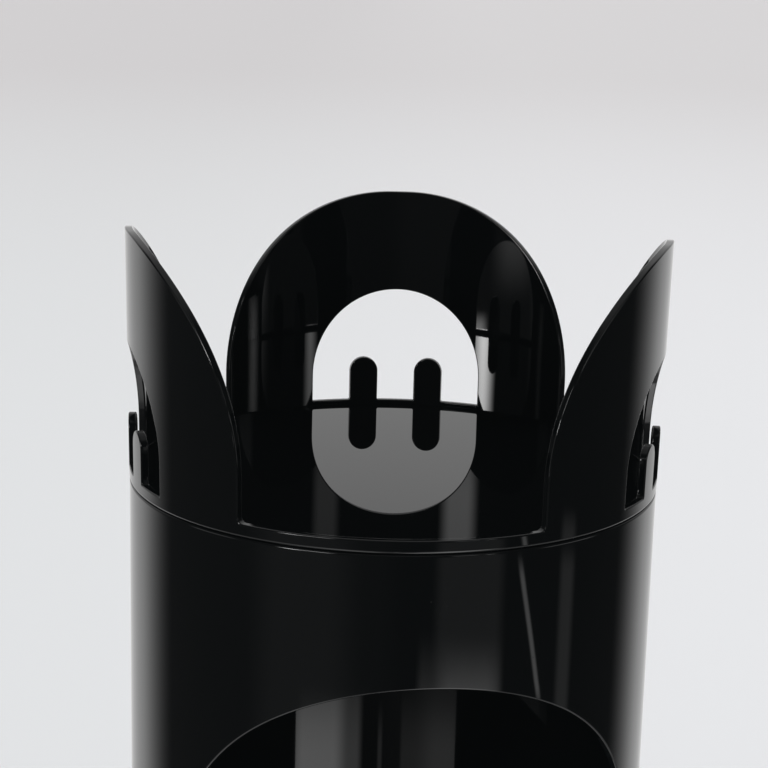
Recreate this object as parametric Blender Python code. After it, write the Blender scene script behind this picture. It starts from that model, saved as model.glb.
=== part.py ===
"""Ashtray bin: a round plastic bin with a lobed crown that carries a flat ashtray disc.

Metres, +Z up. The origin is on the floor, under the middle of the bin, and the open
side of the crown faces -Y. An azimuth is measured from -Y, positive towards +X.
"""

from math import asin, cos, hypot, pi, radians, sin, sqrt

import bmesh
import bpy
from mathutils import Matrix, Vector

# ---------------------------------------------------------------- driving sizes
R = 0.125                   # outside radius of the body
WALL = 0.0037               # wall of the body and the crown
SEAM_Z = 0.600              # where the crown meets the body
GAP = 0.0003                # between two pieces that touch
SEGMENTS = 96               # round pieces seen from outside

# crown, heights from the seam
CROWN_R = 1.001 * R         # outside radius at the seam
CROWN_FLARE = 0.0122        # outward lean of its wall, per unit of height
LOBE_TOP = 0.950 * R
LOBE_ARC_R = 0.752 * R      # quarter arcs of a lobe, on the unrolled wall
LOBE_HALF_ANGLE = 45.0      # half of a lobe's width at its base, degrees
LOBE_AZIMUTHS = {"back": 180.0, "left": -76.5, "right": 76.5}
VALLEY_Z = 0.049 * R        # low wall between two lobes, and sill of the windows
VALLEY_FILLET = 0.0025
WINDOW_HALF = 0.370 * R     # half width and arch radius of a window
WINDOW_ARC_Z = 0.162 * R
TONGUE_NEAR = 0.080 * R     # sides of a tongue, from the window's middle
TONGUE_FAR = 0.202 * R
TONGUE_TOP = 0.235 * R
LEDGE_Z = 0.0012            # carries the ashtray disc
LEDGE_R = 0.1160
SPIGOT_R = 0.1209           # reaches down inside the body
SPIGOT_DEPTH = 0.015

# ashtray disc
DISC_TOP = 0.0297 * R
DISC_R = 0.1210
DISC_MIDDLE_R = 0.030       # smallest ring of its flat faces
DISC_SKIRT = (0.1130, 0.1155)
DISC_SKIRT_DEPTH = 0.008

# body shell
SHELL_BOTTOM = 0.0083
SHELL_RIM_ROUND = 0.0016
MOUTH_AZIMUTH = 8.2         # middle of the waste opening
MOUTH_ARC_R = 1.038 * R     # on the unrolled wall
MOUTH_ARC_Z = -1.517 * R    # from the seam
MOUTH_SILL_Z = -2.600 * R
BOSS_CENTRE_R = 0.1155
BOSS_R = 0.0065
BOSS_Z = (0.0090, 0.0340)
BOSS_AZIMUTHS = (0.0, 90.0, 180.0, 270.0)
PILOT_R = 0.0019
PILOT_TOP = 0.030

# base
PAN_R = 0.1243
PAN_Z = (0.0050, 0.0080)
PAN_RING = (0.1040, 0.1070)
PAN_RING_TOP = 0.0203
BALLAST_R = 0.1030
BALLAST_TOP = 0.0183
SCREW_R = 0.0016
SCREW_HEAD_R = 0.0042
SCREW_HEAD_Z = (0.0022, 0.0047)
SCREW_TIP = 0.024
SCREW_HOLE_R = 0.0022
FOOT_CENTRE_R = 0.100
FOOT_R = 0.0105
FOOT_TOP = 0.0047
FOOT_STEM_R = 0.0035
FOOT_STEM_TOP = 0.0078
FOOT_HOLE_R = 0.0038
FOOT_AZIMUTHS = (45.0, 135.0, 225.0, 315.0)

# waste bucket and its bail
BUCKET_FLOOR_R = 0.1065
BUCKET_TOP_R = 0.1132
BUCKET_WALL = 0.0012
BUCKET_Z = (PAN_RING_TOP + GAP, 0.258)
BEAD_OUT_R = 0.1165
BEAD_HEIGHT = 0.005
BAIL_WIRE_R = 0.0022
BAIL_BOW_R = 0.1145
BAIL_BEND_R = 0.0034
BAIL_Z = BUCKET_Z[1] + BAIL_WIRE_R + GAP
BAIL_STUB_X = 0.1040        # inner end of the wire's stubs
BAIL_HOLE_R = 0.0026
EAR_X = (0.1086, 0.1101)    # inner and outer face of an ear
EAR_HALF_WIDTH = 0.012
EAR_Z = (0.228, 0.2695)
RIVET_Y = 0.007
RIVET_Z = 0.2375
RIVET_R = 0.0018
RIVET_HOLE_R = 0.0022
RIVET_HEAD_R = 0.0034
RIVET_HEAD = 0.0013
RIVET_SPAN = (0.1083, 0.1133)   # between the undersides of the two heads


# ---------------------------------------------------------------- small tools
def clear_scene():
    for obj in list(bpy.data.objects):
        bpy.data.objects.remove(obj, do_unlink=True)


def material(name, colour, roughness, metallic=0.0):
    mat = bpy.data.materials.new(name)
    mat.use_nodes = True
    shader = mat.node_tree.nodes["Principled BSDF"]
    shader.inputs["Base Color"].default_value = (*colour, 1.0)
    shader.inputs["Roughness"].default_value = roughness
    shader.inputs["Metallic"].default_value = metallic
    return mat


def make_object(name, verts, faces, mat=None):
    """A mesh object whose faces all point out."""
    mesh = bpy.data.meshes.new(name)
    mesh.from_pydata([tuple(v) for v in verts], [], faces)
    bm = bmesh.new()
    bm.from_mesh(mesh)
    bmesh.ops.recalc_face_normals(bm, faces=bm.faces)
    bm.to_mesh(mesh)
    bm.free()
    mesh.shade_smooth()
    mesh.set_sharp_from_angle(angle=radians(35))
    obj = bpy.data.objects.new(name, mesh)
    bpy.context.scene.collection.objects.link(obj)
    if mat:
        mesh.materials.append(mat)
    return obj


def loft(sections, closed):
    """Faces between rings of equal length; closed joins the last ring to the first."""
    size = len(sections[0])
    verts = [v for section in sections for v in section]
    count = len(sections)
    faces = []
    for k in range(count if closed else count - 1):
        a, b = k * size, (k + 1) % count * size
        for i in range(size):
            j = (i + 1) % size
            faces.append((a + i, a + j, b + j, b + i))
    if not closed:
        faces.append(tuple(range(size)))
        faces.append(tuple(range((count - 1) * size, count * size)))
    return verts, faces


def polar(radius, azimuth_deg, z):
    a = radians(azimuth_deg)
    return Vector((radius * sin(a), -radius * cos(a), z))


def turned(name, profile, mat, segments=SEGMENTS):
    """An open (radius, z) profile turned about Z, with a flat cap at each end."""
    rings = [[polar(r, 360 * k / segments, z) for k in range(segments)] for r, z in profile]
    return make_object(name, *loft(rings, closed=False), mat)


def prism(name, outline, depth):
    """An (x, z) outline extruded along Y, from depth[0] to depth[1]."""
    sections = [[(x, y, z) for x, z in outline] for y in depth]
    return make_object(name, *loft(sections, closed=False))


def arc(centre, radius, start_deg, end_deg, steps):
    angles = [radians(start_deg + (end_deg - start_deg) * k / steps) for k in range(steps + 1)]
    return [(centre[0] + radius * cos(a), centre[1] + radius * sin(a)) for a in angles]


def combine(target, other, operation):
    """Boolean that stays on the target; a cutter becomes a hidden wire guide."""
    modifier = target.modifiers.new(f"{operation.lower()}_{other.name}", "BOOLEAN")
    modifier.operation = operation
    modifier.solver = "EXACT"
    modifier.object = other
    other.hide_render = True
    other.display_type = "WIRE"


def move(obj, matrix):
    obj.matrix_world = matrix
    return obj


def at_azimuth(azimuth_deg, radius=0.0, z=0.0):
    """Place of a piece drawn facing -Y: turned about Z, then moved out along that azimuth."""
    turn = Matrix.Rotation(radians(azimuth_deg), 4, "Z")
    return turn @ Matrix.Translation((0, -radius, z))


# ---------------------------------------------------------------- crown
def crown_rim():
    """(azimuth, height) around the crown's top edge, azimuths rising through a full turn."""
    flat = radians(LOBE_HALF_ANGLE) * CROWN_R - LOBE_ARC_R
    arc_z = LOBE_TOP - LOBE_ARC_R
    side_lean = 0.15                                    # degrees, so that no two rings meet
    fillet = arc((0, 0), VALLEY_FILLET, 270, 360, 3)

    def degrees_of(length):
        return length / CROWN_R * 180 / pi

    half = []                                           # from the lobe's middle to its foot
    for x, z in reversed(arc((flat, arc_z), LOBE_ARC_R, 0, 90, 14)):
        half.append((degrees_of(x), z))
    foot = LOBE_HALF_ANGLE + side_lean
    for x, z in reversed(fillet):
        half.append((foot + degrees_of(VALLEY_FILLET - x), VALLEY_Z + VALLEY_FILLET + z))
    rim = []
    middles = sorted(LOBE_AZIMUTHS.values())
    for index, middle in enumerate(middles):
        rim += [(middle - a, z) for a, z in reversed(half)]
        rim += [(middle + a, z) for a, z in half]
        following = middles[(index + 1) % len(middles)] + (360 if index == len(middles) - 1 else 0)
        start, end = middle + half[-1][0], following - half[-1][0]
        steps = max(2, round((end - start) / 4))
        rim += [(start + (end - start) * k / steps, VALLEY_Z) for k in range(1, steps)]
    return rim


def crown_section(azimuth, top):
    foot = GAP / 2

    def outside(z):
        return CROWN_R + CROWN_FLARE * z

    profile = [
        (outside(foot), foot),
        (outside(top), top),
        (outside(top) - WALL, top),
        (outside(LEDGE_Z) - WALL, LEDGE_Z),
        (LEDGE_R, LEDGE_Z),
        (LEDGE_R, -SPIGOT_DEPTH),
        (SPIGOT_R, -SPIGOT_DEPTH),
        (SPIGOT_R, foot),
    ]
    return [polar(r, azimuth, SEAM_Z + z) for r, z in profile]


def window_outline():
    """Arched window with its two tongues left standing, (x, z) from the seam."""
    tongue_r = (TONGUE_FAR - TONGUE_NEAR) / 2
    tongue_x = (TONGUE_FAR + TONGUE_NEAR) / 2
    tongue_z = TONGUE_TOP - tongue_r
    right = arc((tongue_x, tongue_z), tongue_r, 180, 0, 10)
    left = arc((-tongue_x, tongue_z), tongue_r, 180, 0, 10)
    outline = [(-WINDOW_HALF, VALLEY_Z), (left[0][0], VALLEY_Z), *left, (left[-1][0], VALLEY_Z)]
    outline += [(right[0][0], VALLEY_Z), *right, (right[-1][0], VALLEY_Z), (WINDOW_HALF, VALLEY_Z)]
    outline += arc((0, WINDOW_ARC_Z), WINDOW_HALF, 0, 180, 28)
    return outline


def make_crown(mat):
    sections = [crown_section(azimuth, top) for azimuth, top in crown_rim()]
    crown = make_object("crown", *loft(sections, closed=True), mat)
    for side, azimuth in LOBE_AZIMUTHS.items():
        window = prism(f"window_{side}", window_outline(), (-1.25 * R, -0.7 * R))
        combine(crown, move(window, at_azimuth(azimuth, 0, SEAM_Z)), "DIFFERENCE")
    return crown


def make_ashtray_disc(mat):
    """Flat top, with a skirt underneath that keeps it in the middle of the crown."""
    bottom = SEAM_Z + LEDGE_Z + GAP
    top = SEAM_Z + DISC_TOP
    skirt_z = SEAM_Z - DISC_SKIRT_DEPTH
    profile = [
        (DISC_MIDDLE_R, bottom),
        (DISC_SKIRT[0], bottom),
        (DISC_SKIRT[0], skirt_z),
        (DISC_SKIRT[1], skirt_z),
        (DISC_SKIRT[1], bottom),
        (DISC_R, bottom),
        (DISC_R, top),
        (DISC_MIDDLE_R, top),
    ]
    return turned("ashtray_disc", profile, mat)


# ---------------------------------------------------------------- body
def shell_columns():
    """(azimuth, height of the opening's top, whether it is part of the opening) round the body."""
    half_angle = MOUTH_ARC_R / R * 180 / pi
    steps = 32
    columns = []
    for k in range(steps + 1):
        along = -cos(pi * k / steps)                    # closer together at the steep sides
        height = SEAM_Z + MOUTH_ARC_Z + MOUTH_ARC_R * sqrt(max(0.0, 1 - along * along))
        columns.append((MOUTH_AZIMUTH + half_angle * along, height, True))
    rest = 360 - 2 * half_angle
    steps = round(rest / 360 * SEGMENTS)
    for k in range(1, steps):
        azimuth = MOUTH_AZIMUTH + half_angle + rest * k / steps
        columns.append((azimuth, SEAM_Z + MOUTH_ARC_Z, False))
    return columns


def shell_mesh():
    """Round wall with a rounded top edge, open between the sill and the arch at the mouth."""
    inside = R - WALL
    sill = SEAM_Z + MOUTH_SILL_Z
    top = SEAM_Z - GAP / 2
    rounding = arc((R - SHELL_RIM_ROUND, top - SHELL_RIM_ROUND), SHELL_RIM_ROUND, 0, 90, 3)
    columns = shell_columns()
    verts = []
    for azimuth, height, _ in columns:
        profile = [(R, SHELL_BOTTOM), (R, sill), (R, height), *rounding]
        profile += [(inside, top), (inside, height), (inside, sill), (inside, SHELL_BOTTOM)]
        verts += [polar(r, azimuth, z) for r, z in profile]
    size = len(profile)
    sill_out, arch_out, arch_in, sill_in = 1, 2, size - 3, size - 2
    open_edges = (sill_out, arch_in)                    # from sill to arch, outside and inside
    faces = []
    for k, (_, _, in_mouth) in enumerate(columns):
        following = (k + 1) % len(columns)
        a, b = k * size, following * size
        opened = in_mouth and columns[following][2]
        for i in range(size):
            if not (opened and i in open_edges):
                faces.append((a + i, a + (i + 1) % size, b + (i + 1) % size, b + i))
        if opened:
            for outer, inner in ((sill_out, sill_in), (arch_out, arch_in)):
                faces.append((a + outer, b + outer, b + inner, a + inner))
        elif in_mouth or columns[following][2]:
            side = a if in_mouth else b
            faces.append((side + sill_out, side + arch_out, side + arch_in, side + sill_in))
    return verts, faces


def make_shell(mat):
    shell = make_object("body_shell", *shell_mesh(), mat)
    for number, azimuth in enumerate(BOSS_AZIMUTHS, 1):
        boss = turned(f"boss_{number}", [(BOSS_R, z) for z in BOSS_Z], None, 20)
        combine(shell, move(boss, at_azimuth(azimuth, BOSS_CENTRE_R)), "UNION")
    for number, azimuth in enumerate(BOSS_AZIMUTHS, 1):
        pilot = turned(f"pilot_{number}", [(PILOT_R, 0.0), (PILOT_R, PILOT_TOP)], None, 12)
        combine(shell, move(pilot, at_azimuth(azimuth, BOSS_CENTRE_R)), "DIFFERENCE")
    return shell


# ---------------------------------------------------------------- base
def make_base_pan(mat):
    low, high = PAN_Z
    profile = [
        (PAN_R - 0.0012, low),
        (PAN_R, low + 0.0012),
        (PAN_R, high),
        (PAN_RING[1], high),
        (PAN_RING[1], PAN_RING_TOP),
        (PAN_RING[0], PAN_RING_TOP),
        (PAN_RING[0], high),
    ]
    pan = turned("base_pan", profile, mat, 72)
    holes = [("screw", BOSS_AZIMUTHS, BOSS_CENTRE_R, SCREW_HOLE_R)]
    holes += [("stem", FOOT_AZIMUTHS, FOOT_CENTRE_R, FOOT_HOLE_R)]
    for kind, azimuths, centre_r, radius in holes:
        for number, azimuth in enumerate(azimuths, 1):
            hole = turned(f"{kind}_hole_{number}", [(radius, 0.0), (radius, 0.012)], None, 12)
            combine(pan, move(hole, at_azimuth(azimuth, centre_r)), "DIFFERENCE")
    return pan


def make_ballast(mat):
    low = PAN_Z[1] + GAP
    chamfer = 0.001
    profile = [(BALLAST_R, low), (BALLAST_R, BALLAST_TOP - chamfer), (BALLAST_R - chamfer, BALLAST_TOP)]
    return turned("ballast_disc", profile, mat, 48)


def make_screw(name, azimuth, mat):
    low, high = SCREW_HEAD_Z
    profile = [
        (0.0010, low + 0.0012),
        (0.0018, low),
        (SCREW_HEAD_R - 0.0008, low),
        (SCREW_HEAD_R, low + 0.0010),
        (SCREW_HEAD_R, high),
        (SCREW_R, high),
        (SCREW_R, SCREW_TIP - 0.002),
        (0.0005, SCREW_TIP),
    ]
    return move(turned(name, profile, mat, 16), at_azimuth(azimuth, BOSS_CENTRE_R))


def make_foot(name, azimuth, mat):
    profile = [
        (FOOT_R - 0.0012, 0.0),
        (FOOT_R, 0.0010),
        (FOOT_R - 0.0006, FOOT_TOP),
        (FOOT_STEM_R, FOOT_TOP),
        (FOOT_STEM_R, FOOT_STEM_TOP),
    ]
    return move(turned(name, profile, mat, 24), at_azimuth(azimuth, FOOT_CENTRE_R))


# ---------------------------------------------------------------- bucket
def make_bucket(mat):
    low, high = BUCKET_Z
    bead_low = high - BEAD_HEIGHT
    floor = low + BUCKET_WALL
    profile = [
        (BUCKET_FLOOR_R - 0.003, low),
        (BUCKET_FLOOR_R, low + 0.003),
        (BUCKET_TOP_R, bead_low),
        (BEAD_OUT_R - 0.0008, bead_low),
        (BEAD_OUT_R, bead_low + 0.0015),
        (BEAD_OUT_R, high - 0.0015),
        (BEAD_OUT_R - 0.0015, high),
        (BUCKET_TOP_R - BUCKET_WALL + 0.0008, high),
        (BUCKET_TOP_R - BUCKET_WALL, high - 0.0008),
        (BUCKET_FLOOR_R - BUCKET_WALL, floor + 0.002),
        (BUCKET_FLOOR_R - BUCKET_WALL - 0.002, floor),
    ]
    bucket = turned("liner_bucket", profile, mat, 72)
    for number, (x_sign, y_sign) in enumerate(((-1, -1), (-1, 1), (1, -1), (1, 1)), 1):
        hole = turned(f"rivet_hole_{number}", [(RIVET_HOLE_R, 0.100), (RIVET_HOLE_R, 0.130)], None, 12)
        combine(bucket, move(hole, rivet_place(x_sign, y_sign)), "DIFFERENCE")
    return bucket


def rivet_place(x_sign, y_sign):
    """Turns a piece drawn along +Z to point outwards along X, at a rivet's place."""
    turn = Matrix.Rotation(x_sign * pi / 2, 4, "Y")
    return Matrix.Translation((0, y_sign * RIVET_Y, RIVET_Z)) @ turn


def make_ear(name, x_sign, mat):
    """Lug with a round top, riveted inside the bucket's rim."""
    top_z = EAR_Z[1] - EAR_HALF_WIDTH * 0.75
    radius = hypot(EAR_HALF_WIDTH, EAR_Z[1] - top_z) ** 2 / (2 * (EAR_Z[1] - top_z))
    spread = asin(EAR_HALF_WIDTH / radius) * 180 / pi
    outline = [(-EAR_HALF_WIDTH, EAR_Z[0]), (EAR_HALF_WIDTH, EAR_Z[0])]
    outline += arc((0, EAR_Z[1] - radius), radius, 90 - spread, 90 + spread, 10)
    turn = Matrix.Rotation(x_sign * pi / 2, 4, "Z")     # the outline's depth now runs along X
    ear = make_object(name, *plate(outline, EAR_X, turn), mat)
    bores = [("pivot", 0.0, BAIL_Z, BAIL_HOLE_R)]
    bores += [("low", -RIVET_Y, RIVET_Z, RIVET_HOLE_R), ("high", RIVET_Y, RIVET_Z, RIVET_HOLE_R)]
    for kind, y, z, radius in bores:
        bore = turned(f"{name}_{kind}", [(radius, 0.100), (radius, 0.120)], None, 12)
        turn = Matrix.Rotation(x_sign * pi / 2, 4, "Y")
        combine(ear, move(bore, Matrix.Translation((0, y, z)) @ turn), "DIFFERENCE")
    return ear


def plate(outline, depth, turn):
    """An (x, z) outline as a flat plate; depth runs along -Y before the turn."""
    sections = [[turn @ Vector((x, -y, z)) for x, z in outline] for y in depth]
    return loft(sections, closed=False)


def make_rivet(name, x_sign, y_sign, mat):
    inner, outer = RIVET_SPAN
    profile = [
        (RIVET_HEAD_R * 0.55, inner - RIVET_HEAD),
        (RIVET_HEAD_R * 0.9, inner - RIVET_HEAD * 0.6),
        (RIVET_HEAD_R, inner),
        (RIVET_R, inner),
        (RIVET_R, outer),
        (RIVET_HEAD_R, outer),
        (RIVET_HEAD_R * 0.9, outer + RIVET_HEAD * 0.6),
        (RIVET_HEAD_R * 0.55, outer + RIVET_HEAD),
    ]
    return move(turned(name, profile, mat, 14), rivet_place(x_sign, y_sign))


def bail_path():
    """Wire's middle line, folded down: stub, tight bend, half-round bow, bend, stub."""
    bend = BAIL_BEND_R
    path = [(BAIL_STUB_X, 0.0)]
    path += arc((BAIL_BOW_R - bend, bend), bend, 270, 360, 4)
    squeeze = (BAIL_BOW_R - bend) / BAIL_BOW_R          # the bow's far end stays over the rim
    path += [(x, bend + y * squeeze) for x, y in arc((0, 0), BAIL_BOW_R, 0, 90, 18)[1:]]
    return path + [(-x, y) for x, y in reversed(path[:-1])]


def make_bail(pivot, mat):
    curve = bpy.data.curves.new("bail", "CURVE")
    curve.dimensions = "3D"
    curve.bevel_depth = BAIL_WIRE_R
    curve.bevel_resolution = 2
    curve.use_fill_caps = True
    path = bail_path()
    spline = curve.splines.new("POLY")
    spline.points.add(len(path) - 1)
    for point, (x, y) in zip(spline.points, path):
        point.co = (x, y, 0.0, 1.0)
    curve.materials.append(mat)
    bail = bpy.data.objects.new("bail", curve)
    bpy.context.scene.collection.objects.link(bail)
    bail.parent = pivot
    return bail


def make_pivot(name, location):
    pivot = bpy.data.objects.new(name, None)
    pivot.location = location
    bpy.context.scene.collection.objects.link(pivot)
    return pivot


# ---------------------------------------------------------------- the bin
def main():
    clear_scene()
    gloss_black = material("gloss_black", (0.010, 0.011, 0.012), 0.06)
    disc_black = material("disc_black", (0.008, 0.009, 0.010), 0.03)
    satin_black = material("satin_black", (0.015, 0.015, 0.016), 0.45)
    rubber = material("rubber", (0.020, 0.020, 0.021), 0.75)
    iron = material("iron", (0.16, 0.15, 0.14), 0.60, 0.9)
    galvanised = material("galvanised", (0.52, 0.54, 0.55), 0.38, 1.0)
    wire_steel = material("wire_steel", (0.48, 0.49, 0.50), 0.30, 1.0)

    make_shell(gloss_black)
    make_crown(gloss_black)
    make_ashtray_disc(disc_black)
    make_base_pan(satin_black)
    make_ballast(iron)
    for number, azimuth in enumerate(BOSS_AZIMUTHS, 1):
        make_screw(f"base_screw_{number}", azimuth, wire_steel)
    for number, azimuth in enumerate(FOOT_AZIMUTHS, 1):
        make_foot(f"foot_{number}", azimuth, rubber)
    make_bucket(galvanised)
    for side, x_sign in (("left", -1), ("right", 1)):
        make_ear(f"ear_{side}", x_sign, galvanised)
        for end, y_sign in (("front", -1), ("back", 1)):
            make_rivet(f"rivet_{side}_{end}", x_sign, y_sign, wire_steel)
    make_bail(make_pivot("bail_pivot", (0, 0, BAIL_Z)), wire_steel)


main()
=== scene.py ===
"""Looks of the ashtray bin: fine surfaces, materials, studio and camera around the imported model.

Metres, +Z up, the crown's open side faces -Y. An azimuth is measured from -Y, positive towards +X.
"""

from math import atan, atan2, ceil, cos, degrees, hypot, pi, radians, sin, sqrt, tan

import bmesh
import bpy
import numpy as np
from mathutils import Matrix, Vector
from mathutils.geometry import delaunay_2d_cdt
from mathutils.kdtree import KDTree


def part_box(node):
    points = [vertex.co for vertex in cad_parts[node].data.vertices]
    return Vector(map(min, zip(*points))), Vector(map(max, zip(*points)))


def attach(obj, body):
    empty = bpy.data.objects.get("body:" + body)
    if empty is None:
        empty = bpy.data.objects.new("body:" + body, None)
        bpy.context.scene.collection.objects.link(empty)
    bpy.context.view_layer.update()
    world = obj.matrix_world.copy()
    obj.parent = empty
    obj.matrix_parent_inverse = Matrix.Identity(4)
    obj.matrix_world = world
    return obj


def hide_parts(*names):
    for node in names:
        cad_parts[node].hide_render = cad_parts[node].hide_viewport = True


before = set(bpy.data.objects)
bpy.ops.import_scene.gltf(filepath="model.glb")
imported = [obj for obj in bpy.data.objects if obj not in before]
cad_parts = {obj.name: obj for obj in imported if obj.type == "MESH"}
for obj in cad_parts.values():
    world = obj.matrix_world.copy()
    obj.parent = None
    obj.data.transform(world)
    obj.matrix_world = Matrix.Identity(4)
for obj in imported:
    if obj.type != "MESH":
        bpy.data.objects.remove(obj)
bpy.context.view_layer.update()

# ---------------------------------------------------------------- driving sizes
R = 0.125                               # outside radius of the body
WALL = 0.0037
HALF_SEAM = 0.00015                     # half the gap between the crown and the body
SEAM_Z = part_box("body_shell")[1].z + HALF_SEAM
STEP = 0.0030                           # spacing of points along a bent wall
ROUND_SEGMENTS = 192                    # round a large turned piece
ARC_STEP_DEG = 20                       # largest turn between two points of a rounded corner

# Heights of the crown and of the opening are measured from the seam.
CROWN_R = 1.001 * R
CROWN_FLARE = 0.0122                    # outward slope of the crown's wall
CROWN_EDGE = 0.0007                     # rounding of the crown's cut edges
CROWN_FOOT_ROUND = (0.0014, 0.0003)     # outside, inside
CROWN_ROW = 0.004                       # spacing of points up the crown's wall
LOBE_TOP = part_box("crown")[1].z - SEAM_Z
LOBE_ARC_R = 0.752 * R
LOBE_HALF_ANGLE = 45.0
LOBE_AZIMUTHS = (76.5, 180.0, 283.5)
VALLEY_Z = 0.049 * R
VALLEY_FILLET = 0.0025
WINDOW_HALF = 0.370 * R
WINDOW_ARC_Z = 0.162 * R
TONGUE_X = 0.141 * R                    # middle of a tongue, from the window's middle
TONGUE_R = 0.061 * R
TONGUE_TOP = 0.235 * R
LEDGE_Z = 0.0012                        # the ledge carries the disc
LEDGE_R = 0.1160
SPIGOT_R = 0.1209                       # the spigot drops into the body
SPIGOT_LOW = -0.015
SPIGOT_TOP = 0.0008
DISC_GAP = 0.0003                       # between the disc and its ledge

SHELL_RIM_ROUND = (0.0010, 0.0006)      # outside, inside
SHELL_FOOT_ROUND = (0.0006, 0.0004)
SHELL_EDGE = 0.0009                     # rounding of the opening's edge
SHELL_ROW = 0.010                       # spacing of points up the body's wall
MOUTH_AZIMUTH = 8.2
MOUTH_ARC_R = 1.038 * R
MOUTH_ARC_Z = -1.517 * R
MOUTH_SILL_Z = -2.600 * R
MOUTH_CORNER = 0.0040


# ---------------------------------------------------------------- mesh tools
class Shape:
    """Points with their own normals, and faces, collected into one smooth mesh."""

    def __init__(self):
        self.points = []
        self.normals = []
        self.faces = []
        self.known = {}

    def point(self, place, normal):
        key = tuple(round(c, 6) + 0.0 for c in place)       # + 0.0 makes -0.0 the same as 0.0
        if key not in self.known:
            self.known[key] = len(self.points)
            self.points.append(Vector(place))
            self.normals.append(Vector(normal).normalized())
        return self.known[key]

    def face(self, *corners):
        kept = [c for k, c in enumerate(corners) if c != corners[k - 1]]
        if len(set(kept)) > 2:
            self.faces.append(kept)

    def rows(self, rows, closed_rows=False, closed_columns=False):
        """Quads between rows of point numbers."""
        pairs = list(zip(rows, rows[1:])) + ([(rows[-1], rows[0])] if closed_rows else [])
        for a, b in pairs:
            last = len(a) if closed_columns else len(a) - 1
            for i in range(last):
                j = (i + 1) % len(a)
                self.face(a[i], a[j], b[j], b[i])

    def new_part(self):
        """Later points don't join the ones made so far."""
        self.known = {}

    def build(self, name, solid=True):
        mesh = bpy.data.meshes.new(name)
        mesh.from_pydata(self.points, [], self.faces)
        if solid:
            bm = bmesh.new()
            bm.from_mesh(mesh)
            bmesh.ops.recalc_face_normals(bm, faces=bm.faces)
            bm.to_mesh(mesh)
            bm.free()
        mesh.shade_smooth()
        mesh.normals_split_custom_set_from_vertices(self.normals)
        obj = bpy.data.objects.new(name, mesh)
        bpy.context.scene.collection.objects.link(obj)
        return obj


def arc(centre, radius, start_deg, end_deg, steps):
    angles = [radians(start_deg + (end_deg - start_deg) * k / steps) for k in range(steps + 1)]
    return [(centre[0] + radius * cos(a), centre[1] + radius * sin(a)) for a in angles]


def dense(points, step):
    """The same line with extra points, so that no stretch is longer than step."""
    out = [points[0]]
    for (x0, y0), (x1, y1) in zip(points, points[1:]):
        count = max(1, ceil(hypot(x1 - x0, y1 - y0) / step))
        out += [(x0 + (x1 - x0) * k / count, y0 + (y1 - y0) * k / count) for k in range(1, count + 1)]
    return out


def edge_normals(points, closed, side):
    """(nx, ny, mitre) at each point. The normal faces away from the material; a mitre is 2 at most."""
    count = len(points)
    flats = []
    for k in range(count if closed else count - 1):
        (x0, y0), (x1, y1) = points[k], points[(k + 1) % count]
        size = hypot(x1 - x0, y1 - y0)
        flats.append((-side * (y1 - y0) / size, side * (x1 - x0) / size))
    out = []
    for k in range(count):
        before = flats[k - 1] if closed or k > 0 else flats[0]
        after = flats[k] if closed or k < count - 1 else flats[-1]
        nx, ny = before[0] + after[0], before[1] + after[1]
        size = hypot(nx, ny)
        nx, ny = nx / size, ny / size
        out.append((nx, ny, 1.0 / max(0.5, nx * before[0] + ny * before[1])))
    return out


def inside(loops, places):
    """Even-odd test of many places against closed loops."""
    x, y = places[:, 0], places[:, 1]
    result = np.zeros(len(places), bool)
    for loop in loops:
        ring = np.array(loop)
        for (x0, y0), (x1, y1) in zip(ring, np.roll(ring, -1, axis=0)):
            if y0 == y1:
                continue
            crosses = (y0 > y) != (y1 > y)
            result ^= crosses & (x < (x1 - x0) * (y - y0) / (y1 - y0) + x0)
    return result


def skin(loops, grid):
    """Triangles that fill flat closed loops, with grid points inside them: (points, triangles)."""
    points, edges = [], []
    for loop in loops:
        start = len(points)
        points += loop
        edges += [(start + k, start + (k + 1) % len(loop)) for k in range(len(loop))]
    far_away = (1e3, 1e3)                               # outside every loop, so it is dropped again
    tree = KDTree(len(points))
    for k, (x, y) in enumerate(points):
        tree.insert((x, y, 0), k)
    tree.balance()
    low, high = np.min(points, axis=0), np.max(points, axis=0)
    columns = max(1, round((high[0] - low[0]) / grid[0]))
    rows = max(1, round((high[1] - low[1]) / grid[1]))
    across = [low[0] + (high[0] - low[0]) * i / columns for i in range(1, columns)]
    upward = [low[1] + (high[1] - low[1]) * j / rows for j in range(1, rows)]
    inner = np.array([(x, y) for x in across for y in upward] or [far_away])
    inner = inner[inside(loops, inner)]
    clear = 0.6 * min(grid)                             # least distance from the loops' own points
    points += [(x, y) for x, y in inner.tolist() if tree.find((x, y, 0))[2] > clear]
    result = delaunay_2d_cdt([Vector(p) for p in points], edges, [], 0, 1e-8)
    flat = np.array([points[source[0]] for source in result[3]])
    triangles = np.array(result[2])
    rounded_loops = [[Vector(p)[:] for p in loop] for loop in loops]    # 32-bit, as the result is
    middles = np.array([place[:] for place in result[0]])[triangles].mean(axis=1)
    keep = inside(rounded_loops, middles)
    return flat.tolist(), triangles[keep].tolist()


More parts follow.
